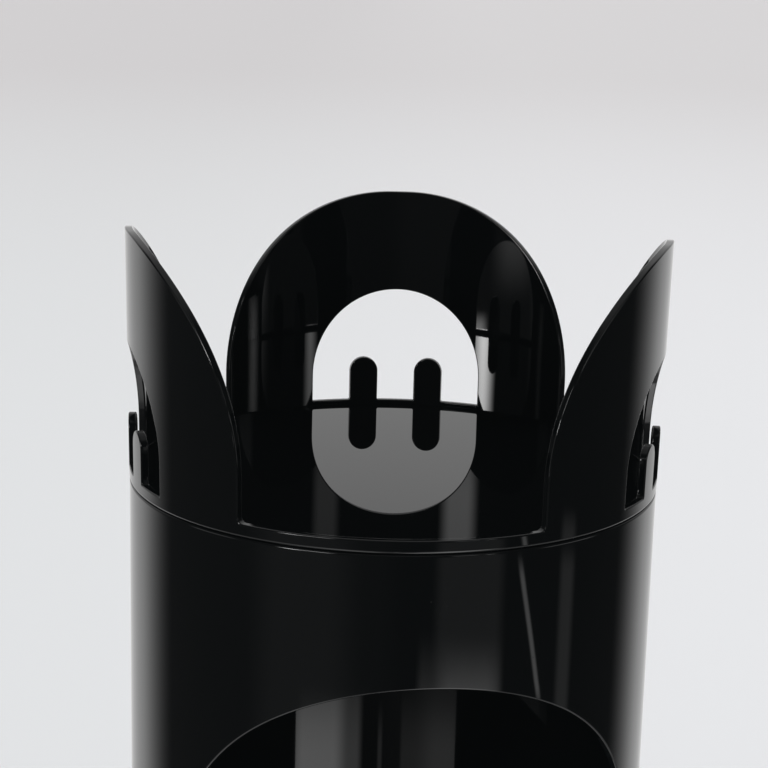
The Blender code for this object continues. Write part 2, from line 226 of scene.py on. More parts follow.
def sheet(shape, open_lines, loops, thickness, place, grid):
    """A wall with rounded edges. Its plan is flat; place puts a plan point into the world.

    open_lines is () for a plate, or (bottom, top) for a wall that closes on itself.
    Each line or loop is (points, side, outer rounding, inner rounding).
    """
    outlines = {"outer": [], "inner": []}
    arc_steps = 4
    for number, (points, side, outer, inner) in enumerate([*open_lines, *loops]):
        closed = number >= len(open_lines)
        normals = edge_normals(points, closed, side)
        rows = []
        for k in range(2 * (arc_steps + 1)):
            inward = k > arc_steps
            step = k - arc_steps - 1 if inward else k
            turn = pi / 2 * step / arc_steps
            if inward:
                inset, depth = inner * (1 - cos(turn)), thickness - inner * (1 - sin(turn))
                out, off = -sin(turn), cos(turn)
            else:
                inset, depth = outer * (1 - sin(turn)), outer * (1 - cos(turn))
                out, off = cos(turn), sin(turn)
            row = []
            for (x, z), (nx, nz, mitre) in zip(points, normals):
                where = (x - nx * mitre * inset, z - nz * mitre * inset)
                spot, facing, along, up = place(*where, depth)
                row.append(shape.point(spot, facing * out + (along * nx + up * nz) * off))
            rows.append(row)
        shape.rows(rows, closed_columns=closed)
        for key, rounding in (("outer", outer), ("inner", inner)):
            outlines[key].append([(x - nx * mitre * rounding, z - nz * mitre * rounding)
                                  for (x, z), (nx, nz, mitre) in zip(points, normals)])
    for key, depth, sign in (("outer", 0.0, 1), ("inner", thickness, -1)):
        lines = outlines[key]
        if open_lines:
            bottom, top = lines[0], lines[1]
            (left, low), right, high = bottom[0], bottom[-1][0], top[0][1]
            count = max(1, ceil((high - low) / grid[1]))
            heights = [low + (high - low) * k / count for k in range(1, count)]
            ring = bottom + [(right, z) for z in heights] + top[::-1] + [(left, z) for z in heights[::-1]]
            lines = [ring, *lines[2:]]
        flat, triangles = skin(lines, grid)
        numbers = []
        for x, z in flat:
            spot, facing, _, _ = place(x, z, depth)
            numbers.append(shape.point(spot, facing * sign))
        for triangle in triangles:
            shape.face(*[numbers[k] for k in triangle])


def bent(radius, flare, base_z):
    """place() for a wall bent round Z: x runs along the outside, z up from base_z."""
    lean = atan(flare)

    def place(x, z, depth):
        a = x / radius
        radial = Vector((sin(a), -cos(a), 0))
        along = Vector((cos(a), sin(a), 0))
        up = Vector((0, 0, 1))
        spot = radial * (radius + flare * z - depth) + up * (base_z + z)
        return spot, radial * cos(lean) - up * sin(lean), along, up * cos(lean) + radial * sin(lean)

    return place


def rounded(points, radii, closed=False):
    """A line with rounded corners, as (x, y, nx, ny). The normal lies to the right of travel."""
    count = len(points)
    out = []

    def normal(p, q):
        size = hypot(q[0] - p[0], q[1] - p[1])
        return (q[1] - p[1]) / size, -(q[0] - p[0]) / size

    for k, p in enumerate(points):
        if radii[k] == 0 and (closed or 0 < k < count - 1):
            out.append((*p, *normal(points[k - 1], points[(k + 1) % count])))
            continue
        if not closed and k == 0:
            out.append((*p, *normal(p, points[1])))
            continue
        if not closed and k == count - 1:
            out.append((*p, *normal(points[-2], p)))
            continue
        before, after = points[k - 1], points[(k + 1) % count]
        n0, n1 = normal(before, p), normal(p, after)
        turn = atan2(n0[0] * n1[1] - n0[1] * n1[0], n0[0] * n1[0] + n0[1] * n1[1])
        back = radii[k] * abs(tan(turn / 2))
        sign = 1 if turn > 0 else -1                    # above 0 the arc's centre is to the left of travel
        direction = (-n0[1], n0[0])
        tangent = (p[0] - direction[0] * back, p[1] - direction[1] * back)
        centre = (tangent[0] - sign * n0[0] * radii[k], tangent[1] - sign * n0[1] * radii[k])
        steps = max(1, ceil(abs(degrees(turn)) / ARC_STEP_DEG))
        start = atan2(n0[1], n0[0])
        for j in range(steps + 1):
            a = start + turn * j / steps
            nx, ny = cos(a), sin(a)
            out.append((centre[0] + sign * nx * radii[k], centre[1] + sign * ny * radii[k], nx, ny))
    return out


def rings(shape, profile, segments, matrix):
    """Rows of points for a profile of (radius, z, radial normal, normal's z) that is turned about Z."""
    turn_only = matrix.to_3x3()
    rows = []
    for r, z, nr, nz in profile:
        row = []
        for k in range(segments):
            a = 2 * pi * k / segments
            spot = matrix @ Vector((r * sin(a), -r * cos(a), z))
            facing = Vector((nr * sin(a), -nr * cos(a), nz)) if r > 1e-9 else Vector((0, 0, nz))
            row.append(shape.point(spot, turn_only @ facing))
        rows.append(row)
    return rows


def turned(shape, profile, closed=False, segments=ROUND_SEGMENTS, matrix=Matrix()):
    """Turns a profile about Z. It runs with the material on its left."""
    shape.rows(rings(shape, profile, segments, matrix), closed_rows=closed, closed_columns=True)


def at(azimuth, radius):
    """Place on the floor at an azimuth in degrees."""
    return Matrix.Rotation(radians(azimuth), 4, "Z") @ Matrix.Translation((0, -radius, 0))


def plan(points, radii):
    """A closed line with rounded corners, without its normals."""
    return [(x, y) for x, y, _, _ in rounded(points, radii, closed=True)]


# ---------------------------------------------------------------- crown
def crown_top():
    """Top edge of the crown's wall from azimuth 0 right round, on the unrolled wall."""
    half = radians(LOBE_HALF_ANGLE) * CROWN_R
    flat, arc_z = half - LOBE_ARC_R, LOBE_TOP - LOBE_ARC_R
    foot_z = VALLEY_Z + VALLEY_FILLET
    line = [(0.0, VALLEY_Z)]
    for azimuth in LOBE_AZIMUTHS:
        middle = radians(azimuth) * CROWN_R
        line += arc((middle - half - VALLEY_FILLET, foot_z), VALLEY_FILLET, 270, 360, 6)
        line += arc((middle - flat, arc_z), LOBE_ARC_R, 180, 90, 48)
        line += arc((middle + flat, arc_z), LOBE_ARC_R, 90, 0, 48)
        line += arc((middle + half + VALLEY_FILLET, foot_z), VALLEY_FILLET, 180, 270, 6)
    line.append((2 * pi * CROWN_R, VALLEY_Z))
    return dense(line, STEP)


def window(azimuth):
    """Arched window with its two tongues left standing, on the unrolled wall."""
    corner = 0.0007
    points, radii = [(-WINDOW_HALF, VALLEY_Z)], [corner]
    for tongue in (-TONGUE_X, TONGUE_X):
        cap = arc((tongue, TONGUE_TOP - TONGUE_R), TONGUE_R, 180, 0, 20)
        points += [(tongue - TONGUE_R, VALLEY_Z), *cap, (tongue + TONGUE_R, VALLEY_Z)]
        radii += [corner, *[0] * len(cap), corner]
    arch = arc((0, WINDOW_ARC_Z), WINDOW_HALF, 0, 180, 60)
    points += [(WINDOW_HALF, VALLEY_Z), *arch]
    radii += [corner, *[0] * len(arch)]
    middle = radians(azimuth) * CROWN_R
    outline = [(middle + x, z) for x, z in plan(points, radii)]
    return dense([*outline, outline[0]], STEP)[:-1]


def make_crown():
    """Bent wall with three lobes and their windows, and a turned ledge and spigot inside its foot."""
    shape = Shape()
    around = 2 * pi * CROWN_R
    bottom = dense([(0.0, HALF_SEAM), (around, HALF_SEAM)], STEP)
    lines = [(bottom, -1, *CROWN_FOOT_ROUND), (crown_top(), 1, CROWN_EDGE, CROWN_EDGE)]
    windows = [(window(azimuth), 1, CROWN_EDGE, CROWN_EDGE) for azimuth in LOBE_AZIMUTHS]
    sheet(shape, lines, windows, WALL, bent(CROWN_R, CROWN_FLARE, SEAM_Z), (STEP, CROWN_ROW))
    shape.new_part()
    root = CROWN_R - WALL / 2                           # the ledge grows out of the wall
    ledge = [(LEDGE_R, SPIGOT_LOW), (SPIGOT_R, SPIGOT_LOW), (SPIGOT_R, SPIGOT_TOP), (root, SPIGOT_TOP),
             (root, LEDGE_Z), (LEDGE_R, LEDGE_Z)]
    ledge = [(r, SEAM_Z + z) for r, z in ledge]
    corners = [0.0006, 0.0010, 0.0002, 0.0001, 0.0001, 0.0004]
    turned(shape, rounded(ledge, corners, closed=True), closed=True)
    return shape.build("crown_moulding")


def make_disc():
    """Flat disc with a skirt under it that keeps it centred in the ledge."""
    low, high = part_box("ashtray_disc")
    reach = high.y
    under = SEAM_Z + LEDGE_Z + DISC_GAP
    skirt_in, skirt_out, segments = 0.1130, 0.1155, 256
    points = [(0, under), (skirt_in, under), (skirt_in, low.z), (skirt_out, low.z), (skirt_out, under),
              (reach, under), (reach, high.z), (0, high.z)]
    corners = [0, 0.0005, 0.0005, 0.0005, 0.0005, 0.0004, 0.0007, 0]
    shape = Shape()
    turned(shape, rounded(points, corners), segments=segments)
    return shape.build("disc_moulding")


# ---------------------------------------------------------------- body
def mouth():
    """The waste opening: an arch on straight sides, on the unrolled wall."""
    points = [(-MOUTH_ARC_R, MOUTH_SILL_Z), (MOUTH_ARC_R, MOUTH_SILL_Z)]
    top = arc((0, MOUTH_ARC_Z), MOUTH_ARC_R, 0, 180, 96)
    middle = radians(MOUTH_AZIMUTH) * R
    corners = [MOUTH_CORNER, MOUTH_CORNER, *[0] * len(top)]
    outline = [(middle + x, z) for x, z in plan([*points, *top], corners)]
    return dense([*outline, outline[0]], STEP)[:-1]


def make_shell():
    """Bent wall with the waste opening, and four screw bosses inside its foot."""
    shape = Shape()
    half = pi * R
    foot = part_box("body_shell")[0].z - SEAM_Z
    edges = ((foot, -1, SHELL_FOOT_ROUND), (-HALF_SEAM, 1, SHELL_RIM_ROUND))
    lines = [(dense([(-half, z), (half, z)], STEP), side, *roundings) for z, side, roundings in edges]
    opening = (mouth(), 1, SHELL_EDGE, SHELL_EDGE)
    sheet(shape, lines, [opening], WALL, bent(R, 0.0, SEAM_Z), (STEP, SHELL_ROW))
    boss_r, boss_low, boss_high, boss_circle = 0.0065, 0.009, 0.034, 0.1155
    boss = [(0, boss_low), (boss_r, boss_low), (boss_r, boss_high), (0, boss_high)]
    for azimuth in (0, 90, 180, 270):
        shape.new_part()
        place = at(azimuth, boss_circle)
        turned(shape, rounded(boss, [0, 0.0004, 0.0008, 0]), segments=32, matrix=place)
    return shape.build("body_moulding")


# ---------------------------------------------------------------- base
def make_pan():
    """Base pan with a raised ring round the ballast. The bucket stands on the ring."""
    low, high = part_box("base_pan")
    deck, ring_in, ring_out = 0.0080, 0.1040, 0.1070
    points = [(0, low.z), (high.y, low.z), (high.y, deck), (ring_out, deck), (ring_out, high.z),
              (ring_in, high.z), (ring_in, deck), (0, deck)]
    corners = [0, 0.0011, 0.0006, 0.0008, 0.0007, 0.0007, 0.0008, 0]
    shape = Shape()
    turned(shape, rounded(points, corners))
    return shape.build("base_pan_moulding")


def make_ballast():
    """Cast disc whose top is dished between its rim and its hub."""
    low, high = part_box("ballast_disc")
    reach = high.y
    rim, hub, slope = 0.010, 0.020, 0.002
    dish_z = high.z - 0.0012
    points = [(0, low.z), (reach, low.z), (reach, high.z), (reach - rim, high.z),
              (reach - rim - slope, dish_z), (hub + slope, dish_z), (hub, high.z), (0, high.z)]
    corners = [0, 0.0008, 0.0012, 0.0006, 0.0006, 0.0006, 0.0006, 0]
    shape = Shape()
    turned(shape, rounded(points, corners))
    return shape.build("ballast_casting")


def make_foot(number):
    """Rubber foot with a dished sole and a push-in stem."""
    low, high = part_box(f"foot_{number}")
    middle, reach = (low + high) / 2, (high.x - low.x) / 2
    shoulder, stem, taper = 0.0047, 0.0035, 0.0005
    dish, dish_in, dish_out = 0.0010, 0.0050, 0.0060
    bevel_in, bevel_up = 0.0012, 0.0014
    points = [(0, dish), (dish_in, dish), (dish_out, 0), (reach - bevel_in, 0), (reach, bevel_up),
              (reach - taper, shoulder), (stem, shoulder), (stem, high.z), (0, high.z)]
    corners = [0, 0.0005, 0.0006, 0.0008, 0.0006, 0.0008, 0.0003, 0.0008, 0]
    place = Matrix.Translation((middle.x, middle.y, 0))
    shape = Shape()
    turned(shape, rounded(points, corners), segments=64, matrix=place)
    return shape.build(f"rubber_foot_{number}")


def make_screw(number):
    """Pan-head screw, head down, with a hexagon socket."""
    low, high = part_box(f"base_screw_{number}")
    middle, reach = (low + high) / 2, (high.x - low.x) / 2
    socket, floor_z, lip, lip_z = 0.0017, low.z + 0.0013, 0.0003, low.z + 0.0001
    bevel_in, bevel_up = 0.0012, 0.0014
    head_z, shank, tip, tip_z = 0.0047, 0.0016, 0.0004, high.z - 0.002
    segments, inward = 48, -0.6                         # inward: downward part of a socket wall's normal
    place = Matrix.Translation((middle.x, middle.y, 0))
    shape = Shape()
    rows = []
    for r, z in ((0, floor_z), (socket, floor_z), (socket, lip_z)):
        row = []
        for k in range(segments):
            a = 2 * pi * k / segments
            hexagon = r * cos(pi / 6) / cos((a + pi / 6) % (pi / 3) - pi / 6)
            spot = Vector((hexagon * sin(a), -hexagon * cos(a), z))
            row.append(shape.point(place @ spot, (-sin(a), cos(a), inward) if r else (0, 0, -1)))
        rows.append(row)
    points = [(socket + lip, low.z), (reach - bevel_in, low.z), (reach, low.z + bevel_up), (reach, head_z),
              (shank, head_z), (shank, tip_z), (tip, high.z), (0, high.z)]
    corners = [0, 0.0010, 0.0008, 0.0003, 0.0002, 0.0004, 0.0001, 0]
    rows += rings(shape, rounded(points, corners), segments, place)
    shape.rows(rows, closed_columns=True)
    return shape.build(f"pan_screw_{number}")


# ---------------------------------------------------------------- bucket
def make_bucket():
    """Spun bucket: rolled rim, two swaged beads, and a floor raised inside the ring it stands on."""
    low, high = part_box("liner_bucket")
    wall, foot_r, top_r, rim_r = 0.0012, 0.1065, 0.1132, high.y
    floor, rim_low = low.z + wall, high.z - 0.005
    ring_in, ring_out, ring_shift, ring_up = 0.080, 0.082, 0.001, 0.0015
    bead_heights, bead_out, bead_half, bead_top = (0.090, 0.195), 0.0014, 0.006, 0.002

    def wall_r(z):
        return foot_r + (top_r - foot_r) * (z - low.z) / (rim_low - low.z)

    beads = []
    for z in bead_heights:
        beads += [(wall_r(z - bead_half), z - bead_half), (wall_r(z) + bead_out, z - bead_top),
                  (wall_r(z) + bead_out, z + bead_top), (wall_r(z + bead_half), z + bead_half)]
    inner_beads = [(r - wall, z) for r, z in reversed(beads)]
    points = [(0, low.z + ring_up), (ring_in, low.z + ring_up), (ring_out, low.z), (foot_r, low.z),
              *beads, (top_r, rim_low), (rim_r, rim_low), (rim_r, high.z), (top_r - wall, high.z),
              *inner_beads, (foot_r - wall, floor), (ring_out + ring_shift, floor),
              (ring_in + ring_shift, floor + ring_up), (0, floor + ring_up)]
    bead_corners = [0.003] * len(beads)
    corners = [0, 0.002, 0.002, 0.0028, *bead_corners, 0.0003, 0.0022, 0.0022, 0.0008, *bead_corners,
               0.0016, 0.002, 0.002, 0]
    shape = Shape()
    turned(shape, rounded(points, corners))
    return shape.build("spun_bucket")


def make_ear(side, sign):
    """Pressed lug with rounded edges, bored for the bail and two rivets."""
    low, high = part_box(f"ear_{side}")
    inner_x, outer_x = (low.x, high.x) if sign > 0 else (-high.x, -low.x)
    half, top, rivet_y, rivet_z, pivot_z = high.y, high.z, 0.007, 0.2375, 0.2605
    top_r, corner, pivot_bore, rivet_bore, step = half * 0.80, 0.002, 0.0026, 0.0022, 0.004
    edge, bore_edge = 0.0003, 0.0002
    cap = arc((0, top - top_r), top_r, 20, 160, 24)
    points = [(-half, low.z), (half, low.z), (half, top - half), *cap, (-half, top - half)]
    ring = plan(points, [corner, corner, corner, *[0] * len(cap), corner])
    ring = dense([*ring, ring[0]], step)[:-1]
    holes = [(0.0, pivot_z, pivot_bore), (-rivet_y, rivet_z, rivet_bore), (rivet_y, rivet_z, rivet_bore)]
    loops = [(ring, -1, edge, edge)]
    loops += [(arc((y, z), r, 0, 360, 28)[:-1], 1, bore_edge, bore_edge) for y, z, r in holes]

    def place(x, z, depth):
        out = Vector((sign, 0, 0))
        return Vector((sign * (outer_x - depth), x, z)), out, Vector((0, 1, 0)), Vector((0, 0, 1))

    shape = Shape()
    sheet(shape, (), loops, outer_x - inner_x, place, (step, step))
    return shape.build(f"bail_ear_{side}")


def make_rivet(side, sign, end):
    """Rivet along X with a domed head at each end."""
    low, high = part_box(f"rivet_{side}_{end}")
    inner, outer = (low.x, high.x) if sign > 0 else (-high.x, -low.x)
    length, reach, head, shank = outer - inner, (high.y - low.y) / 2, 0.0013, 0.0018
    flat, brim = reach * 0.62, head * 0.75
    points = [(0, 0), (flat, 0), (reach, brim), (reach, head), (shank, head), (shank, length - head),
              (reach, length - head), (reach, length - brim), (flat, length), (0, length)]
    corners = [0, 0.0012, 0.0003, 0.0001, 0.0001, 0.0001, 0.0001, 0.0003, 0.0012, 0]
    middle = (low + high) / 2
    place = Matrix.Translation((sign * inner, middle.y, middle.z)) @ Matrix.Rotation(sign * pi / 2, 4, "Y")
    shape = Shape()
    turned(shape, rounded(points, corners), segments=40, matrix=place)
    return shape.build(f"dome_rivet_{side}_{end}")


def make_bail():
    """Round wire: stub, tight bend, half-round bow, bend, stub, with rounded ends."""
    low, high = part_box("bail")
    solid_r = (high.z - low.z) / 2
    level, bow, bend, stub = (low.z + high.z) / 2, high.x - solid_r, 0.0034, 0.1040
    squeeze = (bow - bend) / bow                        # keeps the bow's reach in Y equal to its reach in X
    half = [(stub, 0.0)] + arc((bow - bend, bend), bend, 270, 360, 10)
    half += [(x, bend + y * squeeze) for x, y in arc((0, 0), bow, 0, 90, 48)[1:]]
    path = half + [(-x, y) for x, y in reversed(half[:-1])]
    wire = 0.99 * solid_r                               # stays inside the plain solid's box
    steps, sides, dome = 5, 20, 0.6 * wire
    normals = edge_normals(path, False, 1)
    # a station is (x, y, nx, ny, radius, how far the normal turns to the end, which end)
    stations = [(x, y, *normal[:2], wire, 0.0, 0) for (x, y), normal in zip(path, normals)][1:-1]
    for j in range(steps, -1, -1):
        turn = pi / 2 * j / steps
        x, radius = stub + dome * (1 - cos(turn)), wire * sin(turn)
        stations.insert(0, (x, 0.0, *normals[0][:2], radius, cos(turn), -1))
        stations.append((-x, 0.0, *normals[-1][:2], radius, cos(turn), 1))
    shape = Shape()
    rows = []
    for x, y, nx, ny, radius, cap, end in stations:
        row = []
        for k in range(sides):
            a = 2 * pi * k / sides
            around = Vector((nx * cos(a), ny * cos(a), sin(a)))
            facing = around * sqrt(1 - cap * cap) + Vector((end * cap, 0, 0))
            row.append(shape.point(Vector((x, y, level)) + around * radius, facing))
        rows.append(row)
    shape.rows(rows, closed_columns=True)
    return shape.build("bail_wire")


# ---------------------------------------------------------------- materials
class Paint:
    """A material and a short way to add nodes to it."""

    def __init__(self, name):
        self.material = bpy.data.materials.new(name)
        self.material.use_nodes = True
        self.tree = self.material.node_tree
        self.shader = self.tree.nodes["Principled BSDF"]
        self.place = self.node("ShaderNodeTexCoord").outputs["Object"]

    def node(self, kind, inputs=None, **settings):
        made = self.tree.nodes.new(kind)
        for key, value in settings.items():
            setattr(made, key, value)
        for key, value in (inputs or {}).items():
            self.put(made.inputs[key], value)
        return made

    def put(self, socket, value):
        if isinstance(value, bpy.types.NodeSocket):
            self.tree.links.new(value, socket)
        else:
            socket.default_value = value

    def set(self, **values):
        for key, value in values.items():
            self.put(self.shader.inputs[key.replace("_", " ")], value)

    def stretched(self, scale):
        return self.node("ShaderNodeMapping", {"Vector": self.place, "Scale": scale}).outputs["Vector"]

    def noise(self, scale, detail=3.0, rough=0.5, vector=None):
        inputs = {"Vector": vector or self.place, "Scale": scale, "Detail": detail, "Roughness": rough}
        return self.node("ShaderNodeTexNoise", inputs).outputs["Fac"]

    def cells(self, scale, output="Distance"):
        return self.node("ShaderNodeTexVoronoi", {"Vector": self.place, "Scale": scale}).outputs[output]

    def ramp(self, value, low, high, to_low=0.0, to_high=1.0):
        inputs = {"Value": value, "From Min": low, "From Max": high, "To Min": to_low, "To Max": to_high}
        return self.node("ShaderNodeMapRange", inputs, interpolation_type="SMOOTHSTEP").outputs["Result"]

    def sum(self, a, b, operation="ADD"):
        return self.node("ShaderNodeMath", {0: a, 1: b}, operation=operation).outputs[0]

    def mix(self, factor, a, b):
        made = self.node("ShaderNodeMix", {0: factor, 6: (*a, 1.0), 7: (*b, 1.0)}, data_type="RGBA")
        return made.outputs[2]

    def bump(self, height, strength, distance, after=None):
        inputs = {"Height": height, "Strength": strength, "Distance": distance}
        if after:
            inputs["Normal"] = after
        return self.node("ShaderNodeBump", inputs).outputs["Normal"]


def polished_plastic(name, black, smooth, hazy, wave):
    """Black moulded plastic: soft moulding waves, faint haze, dust specks and hairline scratches."""
    paint = Paint(name)
    haze = paint.ramp(paint.noise(11.0, 4.0, 0.6), 0.42, 0.72)
    specks = paint.ramp(paint.cells(420.0), 0.09, 0.03)
    specks = paint.sum(specks, paint.ramp(paint.noise(38.0, 2.0), 0.58, 0.66), "MULTIPLY")
    hairs = paint.ramp(paint.noise(1.0, 1.0, vector=paint.stretched((900, 900, 26))), 0.72, 0.78)
    hairs = paint.sum(hairs, paint.ramp(paint.noise(17.0, 2.0), 0.60, 0.75), "MULTIPLY")
    worn = paint.ramp(paint.node("ShaderNodeNewGeometry").outputs["Pointiness"], 0.53, 0.60)
    worn = paint.sum(worn, paint.ramp(paint.noise(60.0, 3.0), 0.45, 0.65), "MULTIPLY")
    marks = paint.sum(paint.sum(specks, 0.6, "MULTIPLY"), paint.sum(worn, 0.25, "MULTIPLY"))
    grey = tuple(0.03 + c for c in black)
    paint.set(Base_Color=paint.mix(marks, black, grey), IOR=1.5)
    rough = paint.sum(paint.ramp(haze, 0.0, 1.0, smooth, hazy), paint.sum(specks, 0.25, "MULTIPLY"))
    paint.set(Roughness=paint.sum(rough, paint.sum(hairs, 0.05, "MULTIPLY")))
    waves = paint.bump(paint.noise(14.0, 1.0), wave, 0.001)
    paint.set(Normal=paint.bump(paint.sum(hairs, specks), 0.04, 0.0002, waves))
    return paint.material


def satin_plastic(name):
    """Matt black moulding with a fine spark-eroded grain."""
    paint = Paint(name)
    tone = paint.ramp(paint.noise(24.0, 4.0), 0.35, 0.7)
    paint.set(Base_Color=paint.mix(tone, (0.012, 0.012, 0.013), (0.020, 0.020, 0.021)), IOR=1.5)
    paint.set(Roughness=paint.ramp(paint.noise(60.0, 3.0), 0.3, 0.7, 0.40, 0.56))
    paint.set(Normal=paint.bump(paint.noise(1500.0, 2.0), 0.25, 0.0003))
    return paint.material


def soft_rubber(name):
    """Black rubber with a pale, chalky bloom."""
    paint = Paint(name)
    bloom = paint.ramp(paint.noise(70.0, 5.0, 0.65), 0.40, 0.75)
    paint.set(Base_Color=paint.mix(bloom, (0.012, 0.012, 0.012), (0.045, 0.044, 0.042)))
    paint.set(Roughness=paint.ramp(bloom, 0.0, 1.0, 0.62, 0.90))
    paint.set(Normal=paint.bump(paint.noise(900.0, 3.0), 0.35, 0.0004))
    return paint.material


def cast_iron(name):
    """Sand-cast iron: coarse skin and a little rust."""
    paint = Paint(name)
    skin_height = paint.noise(320.0, 6.0, 0.6)
    rust = paint.ramp(paint.noise(26.0, 5.0, 0.6), 0.56, 0.70)
    paint.set(Base_Color=paint.mix(rust, (0.070, 0.068, 0.066), (0.120, 0.052, 0.026)))
    paint.set(Metallic=paint.ramp(rust, 0.0, 1.0, 0.85, 0.15))
    paint.set(Roughness=paint.ramp(rust, 0.0, 1.0, 0.48, 0.85))
    paint.set(Normal=paint.bump(skin_height, 0.6, 0.0006))
    return paint.material


def galvanised_sheet(name):
    """Zinc spangle: crystals of slightly different grey and gloss, with scuffs and white bloom."""
    paint = Paint(name)
    crystal = paint.node("ShaderNodeSeparateColor", {"Color": paint.cells(95.0, "Color")}).outputs[0]
    bloom = paint.ramp(paint.noise(13.0, 5.0, 0.6), 0.52, 0.74)
    tone = paint.sum(paint.sum(crystal, 0.6, "MULTIPLY"), paint.sum(bloom, 0.4, "MULTIPLY"))
    paint.set(Base_Color=paint.mix(tone, (0.50, 0.52, 0.54), (0.66, 0.68, 0.69)))
    paint.set(Metallic=paint.ramp(bloom, 0.0, 1.0, 1.0, 0.72))
    scuffs = paint.ramp(paint.noise(1.0, 2.0, vector=paint.stretched((260, 260, 14))), 0.62, 0.72)
    rough = paint.sum(paint.ramp(crystal, 0.0, 1.0, 0.34, 0.44), paint.sum(bloom, 0.14, "MULTIPLY"))
    paint.set(Roughness=paint.sum(rough, paint.sum(scuffs, -0.08, "MULTIPLY")))
    grain = paint.bump(crystal, 0.02, 0.0003)
    paint.set(Normal=paint.bump(paint.noise(500.0, 2.0), 0.05, 0.0003, grain))
    return paint.material


def drawn_steel(name):
    """Bright drawn steel with fine die lines, dull spots and dark tarnish."""
    paint = Paint(name)
    tarnish = paint.ramp(paint.noise(90.0, 4.0, 0.6), 0.50, 0.72)
    lines = paint.noise(1.0, 2.0, vector=paint.stretched((1400, 1400, 60)))
    paint.set(Base_Color=paint.mix(tarnish, (0.56, 0.57, 0.58), (0.34, 0.33, 0.32)), Metallic=1.0)
    paint.set(Roughness=paint.ramp(tarnish, 0.0, 1.0, 0.22, 0.40))
    paint.set(Normal=paint.bump(lines, 0.08, 0.0002))
    return paint.material


def show(piece, body, node, material):
    """Puts a fine piece in the place of its CAD solid."""
    piece.data.materials.append(MATERIALS[material])
    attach(piece, body)
    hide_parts(node)


WALL_BLACK = (0.0012, 0.0015, 0.0017)
DISC_BLACK = (0.0012, 0.0014, 0.0016)
MATERIALS = {
    "gloss_black": polished_plastic("gloss_black", WALL_BLACK, smooth=0.020, hazy=0.050, wave=0.06),
    "disc_black": polished_plastic("disc_black", DISC_BLACK, smooth=0.008, hazy=0.016, wave=0.0),
    "satin_black": satin_plastic("satin_black"),
    "rubber": soft_rubber("rubber"),
    "iron": cast_iron("iron"),
    "galvanised": galvanised_sheet("galvanised"),
    "wire_steel": drawn_steel("wire_steel"),
}

show(make_crown(), "crown_ring", "crown", "gloss_black")
show(make_disc(), "ashtray", "ashtray_disc", "disc_black")
show(make_shell(), "shell", "body_shell", "gloss_black")
show(make_pan(), "shell", "base_pan", "satin_black")
show(make_ballast(), "shell", "ballast_disc", "iron")
for number in range(1, 5):
    show(make_foot(number), "shell", f"foot_{number}", "rubber")
    show(make_screw(number), "shell", f"base_screw_{number}", "wire_steel")
show(make_bucket(), "bucket", "liner_bucket", "galvanised")
for side, sign in (("left", -1), ("right", 1)):
    show(make_ear(side, sign), "bucket", f"ear_{side}", "galvanised")
    for end in ("front", "back"):
        show(make_rivet(side, sign, end), "bucket", f"rivet_{side}_{end}", "wire_steel")
show(make_bail(), "bail_handle", "bail", "wire_steel")


# ---------------------------------------------------------------- studio
class Room(Paint):
    """World shader: the studio as the glossy walls see it, and an even pale field for the rest."""

    def __init__(self):
        world = bpy.data.worlds.new("studio")
        bpy.context.scene.world = world
        world.use_nodes = True
        self.tree = world.node_tree
        self.shader = self.tree.nodes["Background"]
        way = self.node("ShaderNodeTexCoord").outputs["Generated"]
        parts = self.node("ShaderNodeSeparateXYZ", {"Vector": way}).outputs
        front = self.sum(parts["Y"], -1.0, "MULTIPLY")
        turn = self.sum(parts["X"], front, "ARCTAN2")
        self.azimuth = self.sum(turn, 180 / pi, "MULTIPLY")
        self.elevation = self.sum(self.sum(parts["Z"], 0.0, "ARCSINE"), 180 / pi, "MULTIPLY")

    def window(self, value, low, high, soft):
        rise = self.ramp(value, low - soft, low + soft)
        fall = self.ramp(value, high - soft, high + soft, 1.0, 0.0)
        return self.sum(rise, fall, "MULTIPLY")

    def panel(self, azimuths, elevations, radiance, soft, lean=0.0):
        """A soft-edged patch; lean turns it from upright, in degrees of azimuth per degree of elevation."""
        azimuth = self.azimuth
        if lean:
            rise = self.sum(self.sum(self.elevation, -elevations[1]), lean, "MULTIPLY")
            azimuth = self.sum(azimuth, rise, "SUBTRACT")
        across = self.window(azimuth, *azimuths, soft[0])
        upward = self.window(self.elevation, *elevations, soft[1])
        return self.sum(self.sum(across, upward, "MULTIPLY"), radiance, "MULTIPLY")


